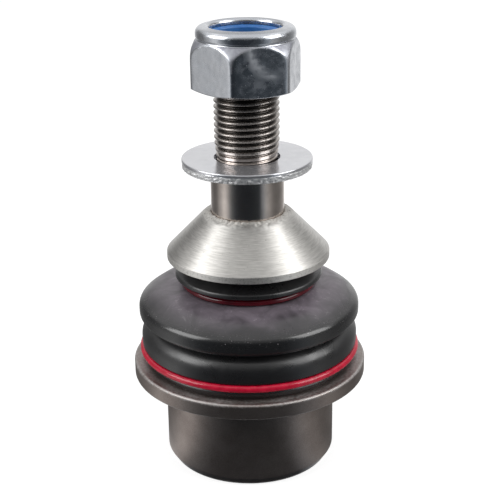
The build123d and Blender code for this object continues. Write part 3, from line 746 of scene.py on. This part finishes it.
helixFaces = [tuple(i + len(corePoints) + len(tipPoints) for i in face.vertices)
              for face in threadStrip.data.polygons]
bpy.data.objects.remove(threadStrip)
allPoints = np.concatenate([corePoints, tipPoints, helix])
studPiece = cleanMesh("groundStud", allPoints, coreFaces + tipFaces + helixFaces, sharpAngle=50)
studPiece.data.materials.append(steel)
print("stud and thread:", len(studPiece.data.polygons), "faces")


# Nut: hexagon domed into its corners, rolled collar over the nylon ring
nutSizes = {
    "outline": {
        "seat": [(9.05, 96.85, 0.1), (11.5, 96.85, 0.1), (13.95, 97.75, 0.3)],
        "hexagon": [(13.95, 102.6, 3.0), (13.65, 106.4, 6.0), (12.05, 108.75, 0.4)],
        "collar": [(11.6, 108.95, 0.4), (11.95, 109.6, 0.3), (12, 111.6, 1.5), (9.5, 112.15, 0.5),
                   (8.65, 111.7, 0.9), (8.65, 110.55, 0.15)],
        "bore": [(10.3, 110.55), (10.3, 107.45), (8.05, 107.45), (8.05, 97.85)],
    },
    "acrossFlats": 24.0, "corner": -104.1, "cornerSharpness": 40, "softness": 0.35, "hexTop": 108.95,
    "hexInside": 10.5, "bruiseFrom": 103, "bruiseTo": 108.9, "bruiseDepth": 0.06, "bruiseFade": 0.15,
}
outline = roundedOutline(joined(nutSizes["outline"]), arcStep=6, longest=0.3)[0]
# Columns stand close together at each corner and wider apart on the flats.
nearCorner = np.concatenate([np.arange(-9, 9.01, 0.75), np.arange(12, 49, 3)])
nutAngles = np.radians(np.sort(np.concatenate([nutSizes["corner"] + 60 * k + nearCorner for k in range(6)])))
flats = [math.radians(nutSizes["corner"] + 30 + 60 * k) for k in range(6)]
power = nutSizes["cornerSharpness"]
closeness = sum(np.maximum(np.cos(nutAngles - flat), 0) ** power for flat in flats) ** (1 / power)
hexRadius = nutSizes["acrossFlats"] / 2 / closeness
radius = np.repeat(outline[:, 0][:, None], len(nutAngles), 1)
limit = np.repeat(hexRadius[None], len(outline), 0)
share = np.clip(0.5 + 0.5 * (radius - limit) / nutSizes["softness"], 0, 1)
softened = radius * (1 - share) + limit * share - nutSizes["softness"] * share * (1 - share)
onHexagon = (outline[:, 1] < nutSizes["hexTop"]) & (outline[:, 0] > nutSizes["hexInside"])
radius = np.where(onHexagon[:, None], softened, radius)
heights = outline[:, 1][:, None] + 0 * radius
nutPoints = np.stack([radius * np.cos(nutAngles), radius * np.sin(nutAngles), heights], -1).reshape(-1, 3)
nut = cleanMesh("lockNut", nutPoints, latheFaces(len(outline), len(nutAngles), True), sharpAngle=40)
points, reach = placesOf(nut)
fromFlats = np.arctan2(points[:, 1], points[:, 0])[:, None] - np.array(flats)[None]
inside = nutSizes["acrossFlats"] / 2 - (reach[:, None] * np.cos(fromFlats)).max(1)
offFlat = np.clip((inside - nutSizes["bruiseDepth"]) / nutSizes["bruiseFade"], 0, 1)
onDome = (points[:, 2] > nutSizes["bruiseFrom"]) * (points[:, 2] < nutSizes["bruiseTo"])
addAttribute(nut, "bruise", offFlat * onDome * (reach > nutSizes["hexInside"]))
nut.data.materials.append(zinc)
print("nut:", len(nut.data.polygons), "faces")

insertSizes = {"outline": {"underside": [(8.05, 107.5, 0.2), (10.25, 107.5)],
                           "top": [(10.25, 110.5), (8.55, 110.5, 0.3), (8.05, 109.95, 0.3)]}}
insert = turnedPiece("nylonRing", insertSizes["outline"], longest=0.5)
insert.data.materials.append(nylon)


# Pieces inside keep their solids and take a finish
insideFinishes = {"cover_plate": phosphated, "cover_seal_ring": nitrile, "preload_spring": bluedSteel,
                  "lower_bearing_shell": acetal, "upper_bearing_shell": acetal, "lip_slide_ring": acetal}
for node, finish in insideFinishes.items():
    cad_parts[node].data.materials.clear()
    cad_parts[node].data.materials.append(finish)


# Floor and studio: white behind the joint, soft boxes at its sides, dark in front
studio = {
    "low": [(-180, "#FDFDFD"), (-160, "#E6E6E6"), (-146, "#8A8A8A"), (-122, "#6C6C6C"), (-108, "#7C7C7C"),
            (-98, "#AAAAAA"), (-88, "#C8C8C8"), (-80, "#EAEAEA"), (-72, "#F1F1F1"), (-64, "#D0D1D2"),
            (-56, "#919599"), (-48, "#64696D"), (-40, "#484D53"), (-30, "#34383D"), (-10, "#2C3035"),
            (10, "#2C3035"), (22, "#303539"), (30, "#353A3F"), (37, "#3A3F44"), (42, "#6F767D"),
            (50, "#9CA2A8"), (58, "#B1B5B8"), (66, "#ADADAD"), (75, "#999999"), (85, "#7E7E7E"),
            (98, "#767676"), (112, "#7C7C7C"), (124, "#959595"), (138, "#ADADAD"), (148, "#E2E2E2"),
            (156, "#F3F3F3"), (180, "#FDFDFD")],
    "high": [(-180, "#BCBCBC"), (-155, "#DADADA"), (-130, "#FDFDFD"), (-108, "#F3F3F3"), (-85, "#DADADA"),
             (-60, "#C4C4C4"), (-30, "#ADADAD"), (0, "#AAAAAA"), (30, "#ADADAD"), (60, "#C4C4C4"),
             (85, "#DADADA"), (108, "#F9F9F9"), (130, "#FDFDFD"), (155, "#E1E1E1"), (180, "#BCBCBC")],
    "lowToHigh": (0.22, 0.7), "highToTop": (0.7, 0.95),  # by how steeply a direction rises
    "top": 0.4, "floorColour": "#A8A8A8", "floorGlow": 0.77, "floorReach": 3,
}


def studioRound(tree, x, y, tones):
    # The studio's tone by direction round the joint, in degrees from the front, minus to the left.
    across = addNode(tree, "Math", [y, -1.0], operation="MULTIPLY")
    angle = addNode(tree, "Math", [x, across], operation="ARCTAN2")
    turn = addNode(tree, "MapRange", [angle, -math.pi, math.pi])
    ramp = addNode(tree, "ValToRGB", [turn])
    stops = ramp.color_ramp.elements
    for i, (degrees, tone) in enumerate(tones):
        stop = stops[i] if i < 2 else stops.new(degrees / 360 + 0.5)
        stop.position = degrees / 360 + 0.5
        stop.color = toLinear(tone)
    return ramp.outputs[0]


world = bpy.data.worlds.new("studio")
bpy.context.scene.world = world
world.use_nodes = True
sky = world.node_tree
sky.nodes.clear()
right, back, rise = addNode(sky, "SeparateXYZ", [addNode(sky, "TexCoord").outputs["Generated"]]).outputs
low, high = [studioRound(sky, right, back, studio[key]) for key in ("low", "high")]
raised, up = [addNode(sky, "MapRange", [rise, *studio[key]], interpolation_type="SMOOTHSTEP")
              for key in ("lowToHigh", "highToTop")]
sides = addNode(sky, "Mix", {0: raised, 6: low, 7: high}, data_type="RGBA")
overhead = [studio["top"]] * 3 + [1]
sight = addNode(sky, "Mix", {0: up, 6: sides, 7: overhead}, data_type="RGBA")
light = addNode(sky, "Background", [sight])
white = addNode(sky, "Background", [(1, 1, 1, 1)])
seen = addNode(sky, "LightPath")
shown = addNode(sky, "MixShader", [seen.outputs["Is Camera Ray"], light, white])
addNode(sky, "OutputWorld", [shown])

side = studio["floorReach"]
floorMesh = bpy.data.meshes.new("floor")
corners = [(x * side, y * side, 0) for x, y in ((-1, -1), (1, -1), (1, 1), (-1, 1))]
floorMesh.from_pydata(corners, [], [(0, 1, 2, 3)])
floor = bpy.data.objects.new("floor", floorMesh)
bpy.context.scene.collection.objects.link(floor)
floorPaint = bpy.data.materials.new("paleFloor")
floorPaint.use_nodes = True
ground = floorPaint.node_tree
ground.nodes.clear()
spot = addNode(ground, "SeparateXYZ", [addNode(ground, "TexCoord").outputs["Object"]])
around = studioRound(ground, spot.outputs[0], spot.outputs[1], studio["low"])
mirrored = addNode(ground, "Emission", [around])
matt = addNode(ground, "BsdfDiffuse", [studio["floorColour"]])
seenFloor = addNode(ground, "LightPath")
glowLevel = addNode(ground, "Math", [seenFloor.outputs["Is Camera Ray"], studio["floorGlow"]],
                    operation="MULTIPLY")
glow = addNode(ground, "Emission", [(1, 1, 1, 1), glowLevel])
lit = addNode(ground, "AddShader", [matt, glow])
floorShown = addNode(ground, "MixShader", [seenFloor.outputs["Is Glossy Ray"], lit, mirrored])
addNode(ground, "OutputMaterial", [floorShown])
floorMesh.materials.append(floorPaint)

lampAim = Vector((0, 0, 0.05))
lamps = {"left": {"place": (-0.6, -0.2, 0.4), "size": (0.5, 0.42), "power": 2.5},
         "right": {"place": (0.58, -0.2, 0.42), "size": (0.46, 0.42), "power": 2.4},
         "top": {"place": (0.0, -0.05, 0.85), "size": (1.3, 1.0), "power": 1.9}}
for name, lamp in lamps.items():
    data = bpy.data.lights.new(name + "SoftBox", "AREA")
    data.shape = "RECTANGLE"
    data.size, data.size_y = lamp["size"]
    data.energy = lamp["power"]
    box = bpy.data.objects.new(name + "SoftBox", data)
    bpy.context.scene.collection.objects.link(box)
    aimed = (lampAim - Vector(lamp["place"])).to_track_quat("-Z", "Y")
    box.matrix_world = Matrix.Translation(lamp["place"]) @ aimed.to_matrix().to_4x4()
bpy.context.scene.view_settings.view_transform = "Standard"
print("studio ready")


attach(housing, "housing")
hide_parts("housing")
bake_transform(boot)
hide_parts("dust_boot")
rides = [(lowerClamp, "housing", "boot_lower_clamp", "clamp_red"),
         (upperClamp, "boot_lip", "boot_upper_clamp", "clamp_red"),
         (cone, "stud", "cone_collar", "turned_steel"),
         (studPiece, "stud", "ball_stud", "hardened_stud_steel"),
         (washer, "washer", "plain_washer", "zinc_plated_steel"),
         (nut, "nut", "nut_body", "zinc_plated_steel"),
         (insert, "nut_carrier", "nylon_insert", "nylon_blue")]
for piece, body, node, slot in rides:
    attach(piece, body)
    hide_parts(node)
